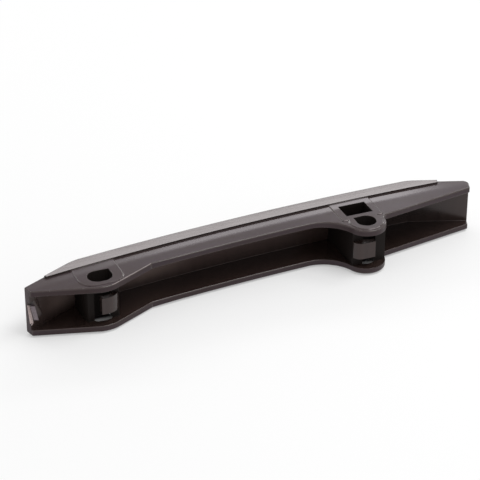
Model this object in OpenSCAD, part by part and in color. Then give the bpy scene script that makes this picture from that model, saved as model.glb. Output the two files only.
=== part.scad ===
// Timing chain guide: one moulded rail that the chain slides along.
// Millimetres. X runs along the line of the two pins, Y points to the running face, Z is across the rail.
// The origin is the middle of the rail's length and depth, at the lower edge of the running face.

/* [Running face] */
// Width of the running face
face_w = 21.4; // [16:0.2:30]
// Radius of the arched running face
face_r = 1050; // [700:10:1600]
// Place of the crest along the rail
crest_x = 65.7; // [55:0.1:71]
// Place of the crest across the rail
crest_y = 16.25; // [15:0.05:18]
// Width of the raised band along each edge of the running face
band_w = 6.2; // [4:0.1:8]
// Height of the raised band above the flange
band_h = 0.7; // [0.4:0.1:1.5]

/* [Lead-in ramps] */
// Place where the left ramp starts
left_ramp_x = -75; // [-78:0.5:-72]
// Fall of the left ramp
left_ramp_angle = 26.7; // [22:0.1:30]
// Length of the left ramp
left_ramp_len = 25.75; // [22:0.05:28]
// Length of the raised band along the left ramp
left_band_len = 15.4; // [10:0.1:17]
// Lean of the left end face
left_end_angle = 15.7; // [5:0.1:27]
// Place where the right ramp starts
right_ramp_x = 75; // [70:0.5:78]
// Fall of the right ramp
right_ramp_angle = 19.7; // [15:0.1:24]
// Length of the right ramp
right_ramp_len = 25.7; // [23:0.1:30]
// Length of the raised band along the right ramp
right_band_len = 12.6; // [8:0.1:16]
// Radius that blends each ramp into the running face
ramp_blend_r = 20; // [10:1:40]
// Radius of the right tip
tip_r = 2.6; // [0.5:0.1:3]

/* [Channel] */
// Thickness of the plate behind the running face
web_t = 3.2; // [2:0.1:3.6]
// Thickness of each flange
flange_t = 2.5; // [1.5:0.1:3.5]
// Depth of the rail between the two bosses
flange_depth = 16.45; // [14:0.05:18]
// Place where the right flange edge crosses the crest line
right_edge_y = -3.7; // [-5:0.1:-3]
// Rise of the right flange edge
right_edge_angle = 9.9; // [7:0.1:12]

/* [Round pin boss] */
// Diameter of the pin holes
pin_d = 8.2; // [6:0.1:9]
// Angle of the corner in each pin hole
corner_angle = 96; // [92:1:120]
// Place of the round hole along the rail
pin_x = 44.9; // [43:0.1:47]
// Place of both holes across the rail
pin_y = -7.7; // [-9:0.1:-7]
// Radius of the ear around the round hole
ear_r = 8.2; // [7.8:0.1:9.5]
// Radius that blends the ear into the flange on its left
ear_blend_r = 15.5; // [10:0.5:20]
// Radius that blends the ear into the flange on its right
ear_heel_r = 3; // [1.5:0.1:5]
// Length of the core window behind the round hole
core_l = 11.6; // [8:0.1:13]
// Width of the core window
core_w = 8.4; // [5:0.1:10]
// Wall between the round hole and the core window
core_gap = 2.1; // [1.2:0.1:3]
// Wall at each end of the core window
core_wall = 1.5; // [1:0.1:2]

/* [Slotted pin boss] */
// Place of the slotted hole along the rail
slot_x = -68.6; // [-71:0.1:-66]
// Free travel of the pin in the slotted hole
slot_travel = 1.8; // [0.5:0.1:4]
// Place of the nose of the left ear along the rail
nose_x = -67.8; // [-70:0.1:-66]
// Place of the nose of the left ear across the rail
nose_y = -16.7; // [-18:0.1:-16]
// Rise of the ear edge from the nose to the left tip
toe_angle = 15.5; // [12:0.1:18]
// Rise of the ear edge from the nose to the right
heel_angle = 26.4; // [20:0.1:35]
// Radius of the nose
nose_r = 12; // [6:0.5:16]

/* [Bridges] */
// Wall around the pin holes
boss_wall = 2.1; // [1.4:0.1:2.4]
// Height of the bridge that closes each hole at the front
bridge_h = 7.4; // [4:0.1:10]
// Reach of each bridge past the hole's centre
bridge_reach = 1.6; // [0.5:0.1:2.5]
// Depth from the hole's centre to the open front of the boss
front_cut = 3.1; // [2:0.1:3.6]
// Radius of the front corners of the round pin boss
boss_corner_r = 3.5; // [2.5:0.1:4.5]

/* [Pads] */
// Height of the pads around the holes
pad_h = 0.3; // [0.1:0.05:0.6]
// Length of the pad around the slotted hole
slot_pad_l = 18.6; // [16:0.2:22]
// Reach of the slot pad in front of the hole's centre
slot_pad_front = 6.3; // [5:0.1:6.8]
// Radius of the front corners of the slot pad
slot_pad_r = 5.5; // [2:0.1:6]
// Length of the pad around the core window
core_pad_l = 18.4; // [15:0.2:20]
// Reach of the core pad in front of the core window
core_pad_front = 3.3; // [2:0.1:4.5]
// Rim left between the ear's edge and its pad
ear_rim = 1; // [0.5:0.1:2]

/* [Gate recess] */
// Height of the gate recess in the left tip
gate_h = 8.8; // [6:0.1:12]
// Length of the gate recess at mid height
gate_l = 4.8; // [3:0.1:7]
// Depth of the gate recess at mid height
gate_depth = 1.1; // [0.9:0.1:1.3]
// Lean of the gate recess along the plate
gate_lean = 14; // [0:1:20]
// Lean of the floor of the gate recess
gate_tilt = 10; // [0:1:12]

/* [Hidden] */
flange_span = face_w - 2 * band_h;
inner_h = flange_span - 2 * flange_t;
inner_z = band_h + flange_t;
mid_z = face_w / 2;
pin_r = pin_d / 2;
core_y = pin_y + pin_r + core_gap;
// Room for cutters to pass clear of what they cut
over = 5;
reach = 45;
// Overlap by which a blend crosses the edges that it joins
bite = 0.03;
big_fn = 720;
small_fn = 96;

function dir(a) = [cos(a), sin(a)];
function unit(v) = v / norm(v);

face_c = [crest_x, crest_y - face_r];
function face_at(x) = face_c + [x - crest_x, sqrt(face_r * face_r - (x - crest_x) * (x - crest_x))];

// Ramps: start point, direction down the ramp and direction into the plastic
left_start = face_at(left_ramp_x);
left_dir = dir(180 + left_ramp_angle);
left_in = dir(left_ramp_angle - 90);
left_end_dir = dir(left_end_angle - 90);
right_start = face_at(right_ramp_x);
right_dir = dir(-right_ramp_angle);
right_in = dir(-right_ramp_angle - 90);
right_end = right_start + right_ramp_len * right_dir;

// Centre of the blend that touches both a ramp and the running face
function blend_centre(start, down, inward) =
    let (base = start + ramp_blend_r * inward - face_c, b = base * down,
         c = base * base - (face_r - ramp_blend_r) * (face_r - ramp_blend_r))
    face_c + base - (b + sqrt(b * b - c)) * down;
left_blend = blend_centre(left_start, left_dir, left_in);
right_blend = blend_centre(right_start, right_dir, right_in);

// Everything under the running face, moved in by a depth, with the ends moved out by a length
module under_face(depth, out) {
    left = left_start + depth * left_in;
    right = right_start + depth * right_in;
    left_tip = left + (left_ramp_len + out) * left_dir;
    right_tip = right + (right_ramp_len + out) * right_dir;
    intersection() {
        translate(face_c) circle(face_r - depth, $fn = big_fn);
        polygon([left_tip, left - reach * left_dir, right - reach * right_dir, right_tip,
                 right_tip + reach * right_in, left_tip + reach * left_end_dir]);
    }
}

// What a rounded corner loses: a and b point from the round's centre to where it touches the two edges
module corner_cutter(centre, r, a, b) {
    moved = centre + bite * unit(a + b);
    difference() {
        polygon([moved, moved + 3 * r * a, moved + 3 * r * b]);
        translate(moved) circle(r, $fn = small_fn);
    }
}

// Running face with its ramps, blends and round right tip, and all that lies under it
module face_plan() {
    difference() {
        under_face(0, 0);
        corner_cutter(left_blend, ramp_blend_r, -left_in, unit(left_blend - face_c));
        corner_cutter(right_blend, ramp_blend_r, -right_in, unit(right_blend - face_c));
        corner_cutter(right_end + tip_r * (right_in - right_dir), tip_r, right_dir, -right_in);
    }
}

// Near edge of the strip between the bosses, and of the flange right of the ear
near_r = face_r - flange_depth;
right_edge_dir = dir(right_edge_angle);
right_edge_up = dir(right_edge_angle + 90);
right_edge_at = [crest_x, right_edge_y];

// Round ear on the right with a blend into the flange on each side
module ear_plan() {
    pin = [pin_x, pin_y];
    // Left blend: touches the ear from outside and the near edge from below
    gap = face_c - pin;
    to_pin = ear_r + ear_blend_r - bite;
    to_face = near_r - ear_blend_r + bite;
    along = (to_pin * to_pin - to_face * to_face + gap * gap) / (2 * norm(gap));
    side = sqrt(to_pin * to_pin - along * along);
    left_c = pin + along * unit(gap) + side * [gap[1], -gap[0]] / norm(gap);
    left_top = face_c + near_r * unit(left_c - face_c);
    // Right blend: touches the ear from outside and the right edge from below
    to_heel = ear_r + ear_heel_r - bite;
    drop = ear_heel_r - bite + (pin - right_edge_at) * right_edge_up;
    right_c = pin - drop * right_edge_up + sqrt(to_heel * to_heel - drop * drop) * right_edge_dir;
    right_top = right_c + (ear_heel_r - bite) * right_edge_up;
    translate(pin) circle(ear_r, $fn = small_fn);
    difference() {
        polygon([left_top, pin + ear_r * unit(left_c - pin), pin, [pin_x, left_top[1] + over],
                 left_top + [0, over]]);
        translate(left_c) circle(ear_blend_r, $fn = small_fn);
    }
    difference() {
        polygon([right_top, right_top + over * right_edge_up, pin + over * right_edge_up, pin,
                 pin + ear_r * unit(right_c - pin)]);
        translate(right_c) circle(ear_heel_r, $fn = small_fn);
    }
}

// Ear on the left: two straight edges that meet in a round nose
module nose_plan() {
    nose = [nose_x, nose_y];
    toe = dir(180 - toe_angle);
    heel = dir(heel_angle);
    touch = nose_r * tan((toe_angle + heel_angle) / 2);
    difference() {
        polygon([nose, nose + reach * heel, nose + 2 * reach * dir(90), nose + reach * toe]);
        corner_cutter(nose + touch * heel + nose_r * dir(heel_angle + 90), nose_r, dir(heel_angle - 90),
                      dir(-toe_angle - 90));
    }
}

// Outline of the flange seen along the pins
module flange_plan() {
    intersection() {
        face_plan();
        union() {
            difference() {
                translate([slot_x, -reach]) square([pin_x - slot_x, 2 * reach]);
                translate(face_c) circle(near_r, $fn = big_fn);
            }
            polygon([right_edge_at - reach * right_edge_dir / 2, right_edge_at + reach * right_edge_dir,
                     right_edge_at + reach * (right_edge_dir + right_edge_up),
                     right_edge_at + reach * (right_edge_up - right_edge_dir / 2)]);
            ear_plan();
            nose_plan();
        }
    }
}

// Strip of the running face that stands above the flange and ends square part of the way down each ramp
module band_plan() {
    left_stop = left_start + left_band_len * left_dir;
    right_stop = right_start + right_band_len * right_dir;
    difference() {
        face_plan();
        translate(face_c) circle(face_r - band_w, $fn = big_fn);
        translate(left_stop) rotate(left_ramp_angle) translate([-reach, -reach]) square([reach, 2 * reach]);
        translate(right_stop) rotate(-right_ramp_angle) translate([0, -reach]) square([reach, 2 * reach]);
    }
}

// Pin hole: round, drawn out by the travel, with one corner on the running face's side towards the inner side
module hole_plan(travel, inner) {
    turn = 90 - corner_angle / 2;
    bearing = 90 - inner * 45;
    for (end = travel > 0 ? [-1, 1] : [1]) translate([end * travel / 2, 0]) circle(pin_r, $fn = small_fn);
    if (travel > 0) translate([-travel / 2, -pin_r]) square([travel, pin_d]);
    r = pin_r - bite;
    translate([inner * travel / 2, 0])
        polygon([[0, 0], r * dir(bearing - turn), r / cos(turn) * dir(bearing), r * dir(bearing + turn)]);
}

module slot_plan() translate([slot_x, pin_y]) hole_plan(slot_travel, 1);
module round_plan() translate([pin_x, pin_y]) hole_plan(0, -1);
module core_plan() translate([pin_x - core_l / 2, core_y]) square([core_l, core_w]);

// Solid around the slotted hole, back to the running plate
module slot_boss_plan() {
    r = pin_r + boss_wall;
    translate([slot_x, pin_y]) {
        for (side = [-1, 1]) translate([side * slot_travel / 2, 0]) circle(r, $fn = small_fn);
        translate([-slot_travel / 2, -r]) square([slot_travel, r + over]);
        translate([-slot_travel / 2 - r, 0]) square([slot_travel + 2 * r, reach]);
    }
}

// Solid around the round hole and the core window, back to the running plate
module round_boss_plan() {
    half = core_l / 2 + core_wall;
    front = pin_r + boss_wall;
    translate([pin_x, pin_y]) {
        for (side = [-1, 1])
            translate([side * (half - boss_corner_r), boss_corner_r - front]) circle(boss_corner_r, $fn = small_fn);
        translate([boss_corner_r - half, -front]) square([2 * (half - boss_corner_r), front]);
        translate([-half, boss_corner_r - front]) square([2 * half, reach]);
    }
}

// Space between the flanges
module channel_plan() {
    difference() {
        under_face(web_t, over);
        slot_boss_plan();
        round_boss_plan();
    }
}

// Cut that opens a boss at the front, leaving a bridge at mid height on the side towards the middle of the rail
module front_cutter(x, outer_side) {
    half = core_l / 2 + core_wall + over;
    translate([x, pin_y - front_cut - reach, 0]) {
        translate([-half, 0, inner_z]) cube([2 * half, reach, (inner_h - bridge_h) / 2]);
        translate([-half, 0, mid_z + bridge_h / 2]) cube([2 * half, reach, (inner_h - bridge_h) / 2]);
        translate([outer_side < 0 ? -half : bridge_reach, 0, inner_z]) cube([half - bridge_reach, reach, inner_h]);
    }
}

// Thin pads on both flanges around the holes
module pad_plan() {
    intersection() {
        flange_plan();
        union() {
            translate([slot_x, pin_y]) {
                for (side = [-1, 1])
                    translate([side * (slot_pad_l / 2 - slot_pad_r), slot_pad_r - slot_pad_front])
                        circle(slot_pad_r, $fn = small_fn);
                translate([slot_pad_r - slot_pad_l / 2, -slot_pad_front])
                    square([slot_pad_l - 2 * slot_pad_r, slot_pad_front]);
                translate([-slot_pad_l / 2, slot_pad_r - slot_pad_front]) square([slot_pad_l, reach]);
            }
            translate([pin_x, pin_y]) circle(ear_r - ear_rim, $fn = small_fn);
            translate([pin_x - core_pad_l / 2, core_y - core_pad_front]) square([core_pad_l, reach]);
        }
    }
}

// Leaning recess that the gate left in the plate's left end
module gate_cutter() {
    tip = left_start + left_ramp_len * left_dir + web_t * left_in;
    translate([tip[0], tip[1], mid_z])
        rotate(left_ramp_angle)
            rotate([-gate_tilt, -gate_lean, 0])
                translate([-over, -over, -gate_h / 2]) cube([over + gate_l, over + gate_depth, gate_h]);
}

module guide_rail() {
    color([0.09, 0.08, 0.08])
        difference() {
            union() {
                translate([0, 0, band_h]) linear_extrude(flange_span) flange_plan();
                linear_extrude(face_w) band_plan();
                translate([0, 0, band_h - pad_h]) linear_extrude(flange_span + 2 * pad_h) pad_plan();
            }
            translate([0, 0, inner_z]) linear_extrude(inner_h) channel_plan();
            translate([0, 0, -over]) linear_extrude(face_w + 2 * over) {
                slot_plan();
                round_plan();
                core_plan();
            }
            front_cutter(slot_x, -1);
            front_cutter(pin_x, 1);
            gate_cutter();
        }
}

guide_rail();
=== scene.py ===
import bmesh
import bpy
import numpy as np
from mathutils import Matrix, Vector


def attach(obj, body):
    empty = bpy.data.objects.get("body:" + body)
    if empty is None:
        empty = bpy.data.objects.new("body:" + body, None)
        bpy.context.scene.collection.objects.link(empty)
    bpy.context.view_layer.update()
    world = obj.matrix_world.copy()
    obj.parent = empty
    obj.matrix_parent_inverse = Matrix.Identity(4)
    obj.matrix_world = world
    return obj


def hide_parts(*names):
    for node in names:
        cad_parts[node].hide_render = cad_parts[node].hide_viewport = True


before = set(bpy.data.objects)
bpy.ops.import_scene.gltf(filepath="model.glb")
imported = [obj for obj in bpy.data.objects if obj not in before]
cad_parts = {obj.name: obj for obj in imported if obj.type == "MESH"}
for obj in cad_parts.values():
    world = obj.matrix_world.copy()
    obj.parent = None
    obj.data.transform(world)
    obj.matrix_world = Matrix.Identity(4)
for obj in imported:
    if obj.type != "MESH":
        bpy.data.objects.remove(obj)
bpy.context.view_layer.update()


# The rail is one injection moulding in dark glass-filled nylon. The mould opens across the rail, so both
# flanges, the bosses and the plate behind the running face come out of one cavity, with a small radius on
# every edge and in every root. The solid gives the shape, and the radii are put on a merged copy of it.
MM = 0.001
face_c = np.array([65.7, -1033.75]) * MM
face_r = 1050 * MM
band_w = 6.2 * MM
flange_low, flange_high = 0.7 * MM, 20.7 * MM
inner_low, inner_high = 3.2 * MM, 18.2 * MM
pad_low, pad_high = 0.4 * MM, 21.0 * MM
rail_high = 21.4 * MM
middle = rail_high / 2
slot_x, pin_x = -68.6 * MM, 44.9 * MM
weld, near = 5e-6, 2e-6
level_tilt = 0.99

rail_mesh = bpy.data.meshes.new("guide_rail_solid")
joined = bmesh.new()
joined.from_mesh(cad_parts["guide_rail"].data)
bmesh.ops.remove_doubles(joined, verts=joined.verts, dist=weld)
joined.to_mesh(rail_mesh)
joined.free()
rail = bpy.data.objects.new("guide_rail_moulding", rail_mesh)
bpy.context.scene.collection.objects.link(rail)


def read(items, field, width, kind=np.float64):
    """One field of all the mesh items as an array with that many numbers in a row."""
    values = np.zeros(len(items) * width, kind)
    items.foreach_get(field, values)
    return values.reshape(-1, width) if width > 1 else values


def behind_face(x, y):
    """Depth behind the running face: the face's radius less the distance from its centre."""
    return face_r - np.hypot(x - face_c[0], y - face_c[1])


def at_level(z, low, high):
    """True where a height is at one of two levels."""
    return np.minimum(np.abs(z - low), np.abs(z - high)) < near


def lean_pads(mesh, top_in):
    """Moves the top of each pad wall inwards against the wall's normal, so that the wall leans as a drafted
    edge does. At a corner the move has the same length along the normals of both walls, which is the sum of
    the normals times the inverse of the sum of their outer products. At the band's step only the part of the
    move along the step is kept."""
    points = read(mesh.vertices, "co", 3)
    normals = read(mesh.polygons, "normal", 3)
    corners = read(mesh.polygons, "loop_total", 1, np.int32)
    corner_of = read(mesh.loops, "vertex_index", 1, np.int32)
    starts = np.r_[0, np.cumsum(corners)[:-1]]
    low = np.minimum.reduceat(points[corner_of, 2], starts)
    high = np.maximum.reduceat(points[corner_of, 2], starts)
    x, y = read(mesh.polygons, "center", 3).T[:2]
    on_step = (behind_face(x, y) < band_w + 1 * MM) & (np.abs(normals[:, 1]) > 0.9)
    upright = np.abs(normals[:, 2]) < 0.01
    wall = upright & ~on_step & (
        (np.abs(low - flange_high) + np.abs(high - pad_high) < 2 * near) |
        (np.abs(low - pad_low) + np.abs(high - flange_low) < 2 * near))
    off_middle = np.abs(points[corner_of, 2] - middle)
    top = np.repeat(wall, corners) & (np.abs(off_middle - (pad_high - middle)) < near)
    out = np.repeat(normals[:, :2], corners, axis=0)[top]
    total, spread = np.zeros((len(points), 2)), np.zeros((len(points), 2, 2))
    np.add.at(total, corner_of[top], out)
    np.add.at(spread, corner_of[top], out[:, :, None] * out[:, None, :])
    # Walls that run almost straight on count as one, which the cut-off of the inverse sees to.
    move = top_in * np.einsum("vij,vj->vi", np.linalg.pinv(spread, rcond=1e-4), total)
    arm = points[:, :2] - face_c
    reach = np.linalg.norm(arm, axis=1, keepdims=True)
    by_step = np.abs(face_r - reach - band_w) < 0.05 * MM
    points[:, :2] -= move - by_step * arm * (move * arm).sum(1, keepdims=True) / reach ** 2
    mesh.vertices.foreach_set("co", points.ravel())
    mesh.update()


def edge_radii(mesh):
    """Radius of each edge in metres. The angle between the normals of the two faces beside an edge says how
    sharp it is. The cross product of the first normal with the second runs with the edge, as the first face
    goes round it, where the edge stands out, and against it where the edge is a root. Towards the ear the inner
    radii shrink in step with three t squared less two t cubed, where t goes from 0 to 1 along the rail."""
    points = read(mesh.vertices, "co", 3)
    ends = read(mesh.edges, "vertices", 2, np.int32)
    normals = read(mesh.polygons, "normal", 3)
    corners = read(mesh.polygons, "loop_total", 1, np.int32)
    order = np.argsort(read(mesh.loops, "edge_index", 1, np.int32), kind="stable")
    face_of = np.repeat(np.arange(len(corners)), corners)[order]
    start_of = read(mesh.loops, "vertex_index", 1, np.int32)[order]
    n, m = normals[face_of[0::2]], normals[face_of[1::2]]
    a, b = points[ends[:, 0]], points[ends[:, 1]]
    run = np.where((start_of[0::2] == ends[:, 0])[:, None], b - a, a - b)
    outside = (np.cross(n, m) * run).sum(1) > 0
    angle = np.degrees(np.arccos(np.clip((n * m).sum(1), -1, 1)))
    x, y, z = ((a + b) / 2).T
    depth = behind_face(x, y)
    level = (np.abs(a[:, 2] - b[:, 2]) < near / 2) & (
        np.maximum(np.abs(n[:, 2]), np.abs(m[:, 2])) > level_tilt)

    # Places along the rail, and the least angles in degrees of an edge that is rounded and of the root of a step.
    left = x < -51.5 * MM
    right_tip = (x > 84.5 * MM) & (depth < 13.4 * MM)
    ear_from, ear_grows, ear_end = 20, 14, 54.5 * MM
    t = np.clip((x / MM - ear_from) / ear_grows, 0, 1)
    ear = t * t * (3 - 2 * t) * (x < ear_end)
    boss_half, gate_x = 9 * MM, -91 * MM
    cored = (np.abs(x - slot_x) < boss_half) | (np.abs(x - pin_x) < boss_half) | (x < gate_x)
    in_channel = np.abs(z - middle) < inner_high - middle - 5 * near
    rounded_from, step_from = 12, 80

    # Radii in millimetres.
    core_edge, core_root, step_root, pad_edge = 0.12, 0.08, 0.25, 0.14
    left_rim, tip_rim, rim = 0.45, 0.5, 0.55
    left_inner_edge, inner_edge, inner_root = 0.35, 0.45 - 0.33 * ear, 0.2 - 0.14 * ear
    running_edge, band_edge = 0.4, 0.16
    other_edge, other_root = 0.3, 0.2
    on_flange = level & at_level(z, flange_low, flange_high)
    radius = np.select(
        [cored & in_channel,
         on_flange & ~outside,
         on_flange & (right_tip | (depth > band_w + 2 * MM)),
         level & at_level(z, inner_low, inner_high),
         level & at_level(z, pad_low, pad_high) & outside,
         level & at_level(z, 0, rail_high) & outside],
        [np.where(outside, core_edge, core_root),
         np.where(angle > step_from, step_root, 0),
         np.where(left, left_rim, np.where(right_tip, tip_rim, rim)),
         np.where(outside, np.where(left, left_inner_edge, inner_edge), inner_root),
         pad_edge,
         np.where(depth < 3 * MM, running_edge, band_edge)],
        np.where(outside, other_edge, other_root))
    return np.where(angle > rounded_from, radius, 0) * MM


pad_draft, largest_radius = 0.4 * MM, 1.2 * MM
lean_pads(rail_mesh, pad_draft)
sharp = rail_mesh.attributes.new("bevel_weight_edge", "FLOAT", "EDGE")
sharp.data.foreach_set("value", (edge_radii(rail_mesh) / largest_radius).astype(np.float32))


def colour(code):
    """Linear colour of an sRGB hex code, with full cover."""
    s = np.array([int(code[i:i + 2], 16) for i in (1, 3, 5)]) / 255
    return (*np.where(s <= 0.04045, s / 12.92, ((s + 0.055) / 1.055) ** 2.4), 1.0)


def node(tree, kind, links=(), inputs=(), stops=(), **settings):
    """Adds one node to a tree. Settings are its own fields, inputs are (socket, value), stops are (position,
    colour) from left to right, and links are (socket, source node, output) for what flows in."""
    made = tree.nodes.new(kind)
    for field, value in settings.items():
        setattr(made, field, value)
    for socket, value in inputs:
        made.inputs[socket].default_value = value
    for index, (position, shade) in enumerate(stops):
        ramp = made.color_ramp.elements
        stop = ramp[index] if index < 2 else ramp.new(position)
        stop.position, stop.color = position, shade
    for socket, source, output in links:
        tree.links.new(source.outputs[output], made.inputs[socket])
    return made


def finish_tree(mesh, name):
    """Gives a mesh one more material, and returns the material's empty node tree."""
    made = bpy.data.materials.new(name)
    made.use_nodes = True
    made.node_tree.nodes.clear()
    mesh.materials.append(made)
    return made.node_tree


# The rail's finishes, in the order in which they are made below, and a typical index of refraction for nylon.
satin, gloss, smooth, dull, burnished, painted_highlight = range(6)
nylon_ior = 1.53

# Glass-filled nylon from spark-eroded steel, on the outside of the flanges: a dark brown black with a dull satin
# sheen, a fine grain from the sparks and slow streaks where the melt flowed along the rail. A polished strip of
# the flange, 2 to 3 mm from the band, mirrors the light as a bright line, which fades out at both ends. Towards the
# right the sparks were finer, and the flange shines more.
tree = finish_tree(rail_mesh, "satin_nylon_from_eroded_steel")
place = node(tree, "ShaderNodeTexCoord")
stretched = node(tree, "ShaderNodeMapping", [("Vector", place, "Object")], [("Scale", (0.3, 1.0, 1.0))])
streak_size = 7 * MM
flow = node(tree, "ShaderNodeTexNoise", [("Vector", stretched, "Vector")],
            [("Scale", 1 / streak_size), ("Detail", 3.0), ("Roughness", 0.55)])
melt = node(tree, "ShaderNodeValToRGB", [("Fac", flow, "Fac")],
            stops=[(0.3, colour("#2b1e1b")), (0.7, colour("#32272a"))])
# The real grain is about 0.1 mm and too fine to show, so it is drawn at 0.5 mm.
grain_size, grain_depth = 0.5 * MM, 0.04 * MM
grain = node(tree, "ShaderNodeTexNoise", [("Vector", place, "Object")],
             [("Scale", 1 / grain_size), ("Detail", 2.0), ("Roughness", 0.6)])
about = node(tree, "ShaderNodeMapping", [("Vector", place, "Object")],
             [("Location", (-face_c[0], -face_c[1], 0.0)), ("Scale", (1.0, 1.0, 0.0))])
from_centre = node(tree, "ShaderNodeVectorMath", [(0, about, "Vector")], operation="LENGTH")
strip_reach = 8 * MM
to_band = node(tree, "ShaderNodeMapRange", [("Value", from_centre, "Value")],
               [("From Min", face_r - band_w - strip_reach), ("From Max", face_r - band_w)])
strip = node(tree, "ShaderNodeValToRGB", [("Fac", to_band, "Result")],
             stops=[(at, (rough, rough, rough, 1))
                    for at, rough in ((0.25, 0.45), (0.61, 0.14), (0.74, 0.14), (0.95, 0.22))])
strip.color_ramp.interpolation = "EASE"
along = node(tree, "ShaderNodeSeparateXYZ", [("Vector", place, "Object")])
by_left = node(tree, "ShaderNodeMapRange", [("Value", along, "X")],
               [("From Min", -95 * MM), ("From Max", -35 * MM), ("To Min", 0.75), ("To Max", 0.0)])
by_tip = node(tree, "ShaderNodeMapRange", [("Value", along, "X")],
              [("From Min", 64 * MM), ("From Max", 92 * MM), ("To Min", 0.0), ("To Max", 0.75)])
unpolished = node(tree, "ShaderNodeMath", [(0, by_left, "Result"), (1, by_tip, "Result")], operation="MAXIMUM")
polish = node(tree, "ShaderNodeMix", [("Factor", unpolished, "Value"), ("A", strip, "Color")], [("B", 0.55)])
grainy = node(tree, "ShaderNodeMath", [(0, grain, "Fac"), (2, polish, "Result")], [(1, 0.06)],
              operation="MULTIPLY_ADD")
finer = node(tree, "ShaderNodeMapRange", [("Value", along, "X")],
             [("From Min", 15 * MM), ("From Max", 62 * MM), ("To Min", 0.0), ("To Max", -0.12)])
sheen = node(tree, "ShaderNodeMath", [(0, grainy, "Value"), (1, finer, "Result")], operation="ADD")
relief = node(tree, "ShaderNodeBump", [("Height", grain, "Fac")], [("Strength", 0.2), ("Distance", grain_depth)])
# The pink tint of its reflections is painted, for the colour of the light that it mirrors.
skin = node(tree, "ShaderNodeBsdfPrincipled",
            [("Base Color", melt, "Color"), ("Roughness", sheen, "Value"), ("Normal", relief, "Normal")],
            [("IOR", nylon_ior), ("Specular IOR Level", 0.34), ("Specular Tint", colour("#fff0fa"))])
node(tree, "ShaderNodeOutputMaterial", [("Surface", skin, "BSDF")])

# The same nylon from polished steel, on the running face, the bands beside it and the drafted edges of the pads:
# it mirrors the room clearly, with faint polishing lines that run along the rail, and a little less clearly towards
# the running face. Its index of refraction is set above nylon's own, to match how strongly these faces mirror.
tree = finish_tree(rail_mesh, "gloss_nylon_from_polished_steel")
place = node(tree, "ShaderNodeTexCoord")
drawn = node(tree, "ShaderNodeMapping", [("Vector", place, "Object")], [("Scale", (0.04, 1.0, 1.0))])
line_gap, matched_ior = 0.6 * MM, 1.6
lines = node(tree, "ShaderNodeTexNoise", [("Vector", drawn, "Vector")],
             [("Scale", 1 / line_gap), ("Detail", 2.0), ("Roughness", 0.5)])
melt = node(tree, "ShaderNodeValToRGB", [("Fac", lines, "Fac")],
            stops=[(0.3, colour("#2e2523")), (0.7, colour("#352b29"))])
lined = node(tree, "ShaderNodeMapRange", [("Value", lines, "Fac")],
             [("From Min", 0.3), ("From Max", 0.7), ("To Min", 0.1), ("To Max", 0.16)])
about = node(tree, "ShaderNodeMapping", [("Vector", place, "Object")],
             [("Location", (-face_c[0], -face_c[1], 0.0)), ("Scale", (1.0, 1.0, 0.0))])
from_centre = node(tree, "ShaderNodeVectorMath", [(0, about, "Vector")], operation="LENGTH")
coarser = node(tree, "ShaderNodeMapRange", [("Value", from_centre, "Value")],
               [("From Min", face_r - band_w), ("From Max", face_r), ("To Min", 0.0), ("To Max", 0.08)])
sheen = node(tree, "ShaderNodeMath", [(0, lined, "Result"), (1, coarser, "Result")], operation="ADD")
# The pink tint of its reflections is painted, for the colour of the light that it mirrors.
skin = node(tree, "ShaderNodeBsdfPrincipled", [("Base Color", melt, "Color"), ("Roughness", sheen, "Value")],
            [("IOR", matched_ior), ("Specular Tint", colour("#fff2f4"))])
node(tree, "ShaderNodeOutputMaterial", [("Surface", skin, "BSDF")])

# The same nylon from ground cores, inside the channel: smooth and dark, with soft upright streaks where the cores
# drew out, and shiny enough that the plate mirrors the floor in front of it. Higher up on the plate, painted light
# makes it paler towards the left end, by the gate and past the slot's boss, and painted shade makes it darker
# towards the right end. A small dark spot above the gate is painted shade.
tree = finish_tree(rail_mesh, "smooth_nylon_from_ground_cores")
place = node(tree, "ShaderNodeTexCoord")
upright = node(tree, "ShaderNodeMapping", [("Vector", place, "Object")], [("Scale", (1.0, 1.0, 0.08))])
draw_mark = 2.5 * MM
draw = node(tree, "ShaderNodeTexNoise", [("Vector", upright, "Vector")],
            [("Scale", 1 / draw_mark), ("Detail", 1.0), ("Roughness", 0.5)])
melt = node(tree, "ShaderNodeValToRGB", [("Fac", draw, "Fac")],
            stops=[(0.3, colour("#281e1b")), (0.7, colour("#2f2421"))])
about = node(tree, "ShaderNodeMapping", [("Vector", place, "Object")],
             [("Location", (-face_c[0], -face_c[1], 0.0)), ("Scale", (1.0, 1.0, 0.0))])
from_centre = node(tree, "ShaderNodeVectorMath", [(0, about, "Vector")], operation="LENGTH")
by_plate = node(tree, "ShaderNodeMapRange", [("Value", from_centre, "Value")],
                [("From Min", face_r - 11 * MM), ("From Max", face_r - 4 * MM)], interpolation_type="SMOOTHSTEP")
along = node(tree, "ShaderNodeSeparateXYZ", [("Vector", place, "Object")])
upper = node(tree, "ShaderNodeMapRange", [("Value", along, "Z")],
             [("From Min", 2.5 * MM), ("From Max", 10 * MM), ("To Min", 0.05)], interpolation_type="SMOOTHSTEP")
painted_light_reach = node(tree, "ShaderNodeMath", [(0, by_plate, "Result"), (1, upper, "Result")], operation="MULTIPLY")
from_left = node(tree, "ShaderNodeMapRange", [("Value", along, "X")],
                 [("From Min", -100 * MM), ("From Max", 100 * MM)])
# Painted light and shade on the plate: paler from the left end past the slot's boss, darker at the right end.
light_and_shade_ramp = node(tree, "ShaderNodeValToRGB", [("Fac", from_left, "Result")],
             stops=[(0.0, colour("#6a5b57")), (0.27, colour("#70615c")), (0.38, colour("#463835")),
                    (0.7, colour("#3a2e2b")), (0.85, colour("#1d1614"))])
pale = node(tree, "ShaderNodeMix", [(0, painted_light_reach, "Value"), (6, melt, "Color"), (7, light_and_shade_ramp, "Color")],
            data_type="RGBA")
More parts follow.
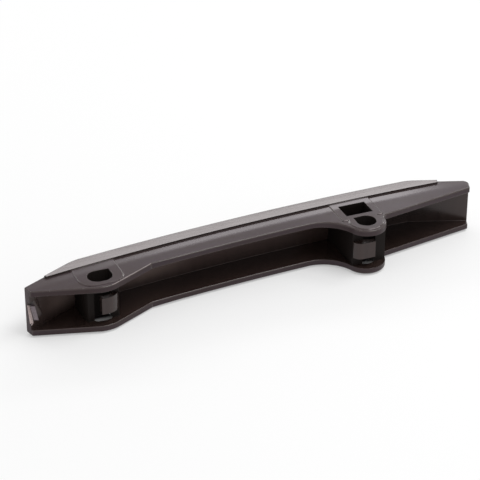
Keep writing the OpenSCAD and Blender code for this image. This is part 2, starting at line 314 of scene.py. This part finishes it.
# A small dark spot above the gate, painted shade of the recess.
painted_shade_at = (-95.9 * MM, -5.6 * MM, 13.9 * MM)
from_painted_shade = node(tree, "ShaderNodeVectorMath", [(0, place, "Object")], [(1, painted_shade_at)], operation="DISTANCE")
painted_shade_spot = node(tree, "ShaderNodeMapRange", [("Value", from_painted_shade, "Value")],
            [("From Min", 0.7 * MM), ("From Max", 1.5 * MM), ("To Min", 1.0), ("To Max", 0.0)])
with_painted_spot = node(tree, "ShaderNodeMix", [(0, painted_shade_spot, "Result"), (6, pale, 2)], [(7, colour("#120e0d"))],
             data_type="RGBA")
sheen = node(tree, "ShaderNodeMapRange", [("Value", draw, "Fac")],
             [("From Min", 0.3), ("From Max", 0.7), ("To Min", 0.2), ("To Max", 0.26)])
# The pink tint of its reflections is painted, for the colour of the light that it mirrors.
skin = node(tree, "ShaderNodeBsdfPrincipled", [("Base Color", with_painted_spot, 2), ("Roughness", sheen, "Result")],
            [("IOR", nylon_ior), ("Specular IOR Level", 0.45), ("Specular Tint", colour("#fff4f4"))])
node(tree, "ShaderNodeOutputMaterial", [("Surface", skin, "BSDF")])

# The same nylon from the blasted side cores that form the bosses, the holes and their open fronts: dull, and painted
# a darker brown black as painted shade, so that it gives back almost no light under the flanges.
tree = finish_tree(rail_mesh, "dull_nylon_with_painted_shade")
place = node(tree, "ShaderNodeTexCoord")
# The real grit is about 0.1 mm and too fine to show, so it is drawn at 0.6 mm.
grit_size = 0.6 * MM
grit = node(tree, "ShaderNodeTexNoise", [("Vector", place, "Object")],
            [("Scale", 1 / grit_size), ("Detail", 2.0), ("Roughness", 0.6)])
melt = node(tree, "ShaderNodeValToRGB", [("Fac", grit, "Fac")],
            stops=[(0.3, colour("#16110f")), (0.7, colour("#1b1513"))])
skin = node(tree, "ShaderNodeBsdfPrincipled", [("Base Color", melt, "Color")],
            [("Roughness", 0.6), ("IOR", nylon_ior), ("Specular IOR Level", 0.12)])
node(tree, "ShaderNodeOutputMaterial", [("Surface", skin, "BSDF")])

# The same nylon on the rounded edges of the flanges and the pads, which the hands and the box have burnished: it
# catches a thin bright line.
tree = finish_tree(rail_mesh, "burnished_nylon_on_handled_edges")
place = node(tree, "ShaderNodeTexCoord")
rub_size = 3 * MM
rub = node(tree, "ShaderNodeTexNoise", [("Vector", place, "Object")],
           [("Scale", 1 / rub_size), ("Detail", 2.0), ("Roughness", 0.5)])
melt = node(tree, "ShaderNodeValToRGB", [("Fac", rub, "Fac")],
            stops=[(0.3, colour("#31221f")), (0.7, colour("#3a2d2c"))])
sheen = node(tree, "ShaderNodeMapRange", [("Value", rub, "Fac")],
             [("From Min", 0.3), ("From Max", 0.7), ("To Min", 0.16), ("To Max", 0.28)])
skin = node(tree, "ShaderNodeBsdfPrincipled", [("Base Color", melt, "Color"), ("Roughness", sheen, "Result")],
            [("IOR", nylon_ior)])
node(tree, "ShaderNodeOutputMaterial", [("Surface", skin, "BSDF")])

# A painted highlight on the upper edge right of the slot's boss: the same nylon painted pale as a thin bright line,
# with a dull sheen.
tree = finish_tree(rail_mesh, "painted_highlight_on_one_edge")
place = node(tree, "ShaderNodeTexCoord")
highlight_noise_size = 1.5 * MM
highlight_noise = node(tree, "ShaderNodeTexNoise", [("Vector", place, "Object")],
             [("Scale", 1 / highlight_noise_size), ("Detail", 2.0), ("Roughness", 0.5)])
melt = node(tree, "ShaderNodeValToRGB", [("Fac", highlight_noise, "Fac")],
            stops=[(0.3, colour("#6e6362")), (0.7, colour("#8c817f"))])
skin = node(tree, "ShaderNodeBsdfPrincipled", [("Base Color", melt, "Color")],
            [("Roughness", 0.45), ("IOR", nylon_ior)])
node(tree, "ShaderNodeOutputMaterial", [("Surface", skin, "BSDF")])


def finishes(mesh):
    """Finish of each face by its place: gloss on the running face, its ramps, the top of the bands and the drafted
    edges of the pads, without the front and left of the slot's pad, dull and painted dark as painted shade on the
    bosses behind their bridges and in the holes, smooth elsewhere between the flanges, and satin on the rest."""
    normal = read(mesh.polygons, "normal", 3)
    x, y, z = read(mesh.polygons, "center", 3).T
    level = np.abs(normal[:, 2]) > level_tilt
    depth = behind_face(x, y)
    band = level & ((z < 0.2 * MM) | (z > rail_high - 0.2 * MM))
    running = (normal[:, 1] > 0.8) & (depth < 14 * MM) & ((depth < 1.5 * MM) | (np.abs(x) > 75 * MM))
    by_pad = np.minimum(np.abs(z - pad_high), np.abs(z - pad_low)) < pad_draft
    drafted = (np.abs(normal[:, 2]) > 0.5) & ~level & by_pad & (x > slot_x + 7.5 * MM)
    between = (z > inner_low - 0.1 * MM) & (z < inner_high + 0.1 * MM)
    ends = (np.abs(normal[:, 0]) > 0.85) & (np.abs(x) > 94 * MM)
    by_hole = (np.abs(x - slot_x) < 7.4 * MM) | (np.abs(x - pin_x) < 8.4 * MM)
    boss = by_hole & (y > -11.2 * MM) & (depth > 4.2 * MM) & (np.abs(normal[:, 2]) < 0.5) & between
    return np.select([band | running | drafted, boss, between & ~ends], [gloss, dull, smooth], satin)


# The radii are rolled on here. Those of the flanges, the pads and the running face are burnished, with a painted
# highlight on one edge. The roots and front edges of the bands and the edges of the bosses stay dull, in the darker
# colour of painted shade, and the other radii in the channel are as smooth as the channel.
rail_mesh.polygons.foreach_set("material_index", finishes(rail_mesh).astype(np.int32))
rail_mesh.shade_smooth()
radii = rail.modifiers.new("moulded_radii", "BEVEL")
radii.limit_method = "WEIGHT"
radii.offset_type = "OFFSET"
radii.width = largest_radius
radii.segments = 4
radii.use_clamp_overlap = False
radii.material = burnished
moulded = bpy.data.meshes.new_from_object(rail.evaluated_get(bpy.context.evaluated_depsgraph_get()))
moulded.name = "guide_rail_moulding"
rail.modifiers.remove(radii)
rail.data = moulded
finish = read(moulded.polygons, "material_index", 1, np.int32)
x, y, z = read(moulded.polygons, "center", 3).T
depth = behind_face(x, y)
off_middle = np.abs(z - middle)
above = off_middle - (flange_high - middle)
rounded = finish == burnished
in_channel = rounded & (off_middle < inner_high - middle)
by_hole = (np.abs(x - slot_x) < 7.6 * MM) | (np.abs(x - pin_x) < 8.6 * MM)
# The roots and front edges of the bands take the dull finish, whose dark colour is painted shade.
band_root = (above > 0.03 * MM) & (above < 0.2 * MM)
band_front = (above > 0.5 * MM) & (depth > 3 * MM)
# The painted highlight runs along the upper edge right of the slot's boss.
highlight_x, highlight_half = -57.5 * MM, 8.5 * MM
highlight_edge_mask = (np.abs(x - highlight_x) < highlight_half) & (depth > band_w + 4 * MM) & (
    z > flange_high - 0.14 * MM) & (above < 0)
finish = np.select(
    [in_channel & by_hole, in_channel, rounded & (band_root | band_front), rounded & highlight_edge_mask],
    [dull, smooth, dull, painted_highlight], finish)
moulded.polygons.foreach_set("material_index", finish.astype(np.int32))
evened = rail.modifiers.new("even_shading", "WEIGHTED_NORMAL")
evened.weight = 50
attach(rail, "root")
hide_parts("guide_rail")


# The stub of the gate stands in the recess of the left end. Where the sprue was broken off it left a short leaning
# bar and a thin lip along the end of the plate, both part of the moulding, painted pale as painted reflections.
def prism_faces(sides, first):
    """Faces of a prism whose front corners are numbered from first, with the rear corners after them: the front
    turned round, the rear, and from each front edge one face to the rear edge behind it."""
    ring = np.arange(sides) + first
    ahead = np.roll(ring, -1)
    return [ring[::-1].tolist(), (ring + sides).tolist(),
            *np.stack([ring, ahead, ahead + sides, ring + sides], 1).tolist()]


stub = np.array([[-96.67, -7.2, 13.35], [-94.91, -7.2, 12.98], [-93.70, -7.2, 6.44], [-95.60, -7.2, 6.93]])
lip = np.array([[-97.68, -6.35, 13.6], [-96.62, -6.2, 13.1], [-96.05, -7.05, 7.6], [-96.05, -7.55, 5.9],
                [-96.80, -7.9, 5.1], [-97.36, -7.6, 5.9]])
stub_rear = stub + np.array([[0, 2.1, 0], [0, 2.9, 0], [0, 2.05, 0], [0, 1.35, 0]])
lip_rear = lip + np.array([0.22, 0.54, 0])
stub_faces, lip_faces = prism_faces(len(stub), 0), prism_faces(len(lip), 2 * len(stub))
scar_mesh = bpy.data.meshes.new("gate_scar")
scar_mesh.from_pydata((np.vstack([stub, stub_rear, lip, lip_rear]) * MM).tolist(), [], stub_faces + lip_faces)
bar_painted_reflection, lip_painted_reflection = range(2)
scar_mesh.polygons.foreach_set(
    "material_index", np.repeat([bar_painted_reflection, lip_painted_reflection], [len(stub_faces), len(lip_faces)]).astype(np.int32))
scar = bpy.data.objects.new("gate_scar", scar_mesh)
bpy.context.scene.collection.objects.link(scar)
fibre_size, fibre_depth = 0.8 * MM, 0.1 * MM

# On the bar: a dull lilac grey that hardly shines, painted as a painted reflection of the bright room above it.
tree = finish_tree(scar_mesh, "gate_bar_painted_reflection")
place = node(tree, "ShaderNodeTexCoord")
bar_noise = node(tree, "ShaderNodeTexNoise", [("Vector", place, "Object")],
            [("Scale", 1 / fibre_size), ("Detail", 4.0), ("Roughness", 0.65)])
painted_reflection_ramp = node(tree, "ShaderNodeValToRGB", [("Fac", bar_noise, "Fac")],
             stops=[(0.35, colour("#6a6064")), (0.7, colour("#85797e"))])
relief = node(tree, "ShaderNodeBump", [("Height", bar_noise, "Fac")], [("Strength", 0.25), ("Distance", fibre_depth)])
skin = node(tree, "ShaderNodeBsdfPrincipled", [("Base Color", painted_reflection_ramp, "Color"), ("Normal", relief, "Normal")],
            [("IOR", nylon_ior), ("Roughness", 0.62)])
node(tree, "ShaderNodeOutputMaterial", [("Surface", skin, "BSDF")])

# On the lip: pale and dull, with darker threads, painted as a painted reflection of the white room to its left.
tree = finish_tree(scar_mesh, "gate_lip_painted_reflection")
place = node(tree, "ShaderNodeTexCoord")
lip_noise = node(tree, "ShaderNodeTexNoise", [("Vector", place, "Object")],
              [("Scale", 1 / fibre_size), ("Detail", 4.0), ("Roughness", 0.65)])
painted_reflection_ramp = node(tree, "ShaderNodeValToRGB", [("Fac", lip_noise, "Fac")],
             stops=[(0.35, colour("#a4928f")), (0.7, colour("#cbbcb9"))])
relief = node(tree, "ShaderNodeBump", [("Height", lip_noise, "Fac")], [("Strength", 0.25), ("Distance", fibre_depth)])
skin = node(tree, "ShaderNodeBsdfPrincipled", [("Base Color", painted_reflection_ramp, "Color"), ("Normal", relief, "Normal")],
            [("IOR", nylon_ior), ("Roughness", 0.62)])
node(tree, "ShaderNodeOutputMaterial", [("Surface", skin, "BSDF")])
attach(scar, "root")


# The stage: a wide pale floor of matt paper that keeps the rail's shadow and turns to plain white further off. The
# rail mirrors less of that white from the floor beside and behind it than from the floor further in front. Under the
# two holes the floor gets none of it, and behind their middle it is dark, for the deep shade of the bosses.
floor_half = 3
floor_mesh = bpy.data.meshes.new("floor")
floor_mesh.from_pydata([(-floor_half, -floor_half, 0), (floor_half, -floor_half, 0),
                        (floor_half, floor_half, 0), (-floor_half, floor_half, 0)], [], [(0, 1, 2, 3)])
floor = bpy.data.objects.new("floor", floor_mesh)
bpy.context.scene.collection.objects.link(floor)
tree = finish_tree(floor_mesh, "pale_floor")
spot = node(tree, "ShaderNodeTexCoord")
pin_y = -7.7 * MM
under_slot = node(tree, "ShaderNodeVectorMath", [(0, spot, "Object")], [(1, (slot_x, pin_y, 0))],
                  operation="DISTANCE")
under_pin = node(tree, "ShaderNodeVectorMath", [(0, spot, "Object")], [(1, (pin_x, pin_y, 0))],
                 operation="DISTANCE")
nearest = node(tree, "ShaderNodeMath", [(0, under_slot, "Value"), (1, under_pin, "Value")], operation="MINIMUM")
far_off = node(tree, "ShaderNodeMapRange", [("Value", nearest, "Value")],
               [("From Min", 60 * MM), ("From Max", 350 * MM), ("To Min", 0.35), ("To Max", 1.0)])
open_floor = node(tree, "ShaderNodeMapRange", [("Value", nearest, "Value")],
                  [("From Min", 6.2 * MM), ("From Max", 7.2 * MM)])
white_share = node(tree, "ShaderNodeMath", [(0, far_off, "Result"), (1, open_floor, "Result")],
                   operation="MULTIPLY")
ray = node(tree, "ShaderNodeLightPath")
seen = node(tree, "ShaderNodeMath", [(0, ray, "Is Camera Ray"), (1, white_share, "Value")], operation="MULTIPLY")
mirrored = node(tree, "ShaderNodeMath", [(0, ray, "Is Glossy Ray"), (1, ray, "Is Transmission Ray")],
                operation="MAXIMUM")
about = node(tree, "ShaderNodeMapping", [("Vector", spot, "Object")],
             [("Location", (-face_c[0], -face_c[1], 0.0)), ("Scale", (1.0, 1.0, 0.0))])
from_centre = node(tree, "ShaderNodeVectorMath", [(0, about, "Vector")], operation="LENGTH")
in_front = node(tree, "ShaderNodeMapRange", [("Value", from_centre, "Value")],
                [("From Min", face_r - 27 * MM), ("From Max", face_r - 18 * MM), ("To Min", 0.6), ("To Max", 0.15)])
share = node(tree, "ShaderNodeMath", [(0, mirrored, "Value"), (1, in_front, "Result"), (2, seen, "Value")],
             operation="MULTIPLY_ADD")
across = node(tree, "ShaderNodeSeparateXYZ", [("Vector", spot, "Object")])
lit_front = node(tree, "ShaderNodeMapRange", [("Value", across, "Y")],
                 [("From Min", pin_y + 1.4 * MM), ("From Max", pin_y + 3.2 * MM), ("To Min", 1.0), ("To Max", 0.0)])
unshaded = node(tree, "ShaderNodeMath", [(0, open_floor, "Result"), (1, lit_front, "Result")],
                operation="MAXIMUM")
paper = node(tree, "ShaderNodeMix", [(0, unshaded, "Value")], [(6, colour("#2c2626")), (7, colour("#f5f5f5"))],
             data_type="RGBA")
matt = node(tree, "ShaderNodeBsdfDiffuse", [("Color", paper, 2)])
white = node(tree, "ShaderNodeEmission", inputs=[("Color", colour("#ffffff")), ("Strength", 1.0)])
mixed = node(tree, "ShaderNodeMixShader", [(0, share, "Value"), (1, matt, "BSDF"), (2, white, "Emission")])
node(tree, "ShaderNodeOutputMaterial", [("Surface", mixed, "Shader")])

# A white room, which shows as white, and lights and mirrors a little less.
room = bpy.data.worlds.new("white_room")
bpy.context.scene.world = room
room.use_nodes = True
tree = room.node_tree
tree.nodes.clear()
room_light, more_mirrored, more_seen = 0.6, 0.25, 0.4
ray = node(tree, "ShaderNodeLightPath")
mirrored = node(tree, "ShaderNodeMath", [(0, ray, "Is Glossy Ray"), (1, ray, "Is Transmission Ray")],
                operation="MAXIMUM")
lit = node(tree, "ShaderNodeMath", [(0, mirrored, "Value")], [(1, more_mirrored), (2, room_light)],
           operation="MULTIPLY_ADD")
seen = node(tree, "ShaderNodeMath", [(0, ray, "Is Camera Ray"), (2, lit, "Value")], [(1, more_seen)],
            operation="MULTIPLY_ADD")
walls = node(tree, "ShaderNodeBackground", [("Strength", seen, "Value")], [("Color", colour("#ffffff"))])
node(tree, "ShaderNodeOutputWorld", [("Surface", walls, "Background")])

# A low strip box stands behind the rail, where the bands mirror it. A soft box hangs above the rail and lights the
# tops, and the edges that lean towards the camera mirror it. A small box stands high on the right, for the edges
# that face that way. Each is given by its width, height, watts, direction from the rail and distance.
for name, wide, high, watts, away, distance in (
        ("strip_box", 2.4, 0.17, 4.0, Vector((0.18, 0.847, 0.5)), 1.2),
        ("top_box", 0.7, 0.6, 6.5, Vector((0.33, -0.20, 0.92)), 1.3),
        ("side_box", 0.3, 0.3, 1.6, Vector((0.66, 0.06, 0.75)), 1.3)):
    lamp = bpy.data.lights.new(name, "AREA")
    lamp.shape, lamp.size, lamp.size_y, lamp.energy = "RECTANGLE", wide, high, watts
    box = bpy.data.objects.new(name, lamp)
    bpy.context.scene.collection.objects.link(box)
    box.location = away * distance
    box.rotation_euler = away.to_track_quat("Z", "Y").to_euler()
    box.visible_camera = False

# The camera looks down at the rail from the left, with the long lens of a product photograph.
lens = bpy.data.cameras.new("camera")
lens.lens, lens.sensor_width = 150, 36
lens.clip_start, lens.clip_end = 0.05, 20
camera = bpy.data.objects.new("camera", lens)
bpy.context.scene.collection.objects.link(camera)
camera.location = (-0.2696, -0.6384, 0.4177)
camera.rotation_euler = Vector((0.3294, 0.8010, -0.5)).to_track_quat("-Z", "Y").to_euler()
bpy.context.scene.camera = camera
bpy.context.scene.view_settings.view_transform = "Standard"
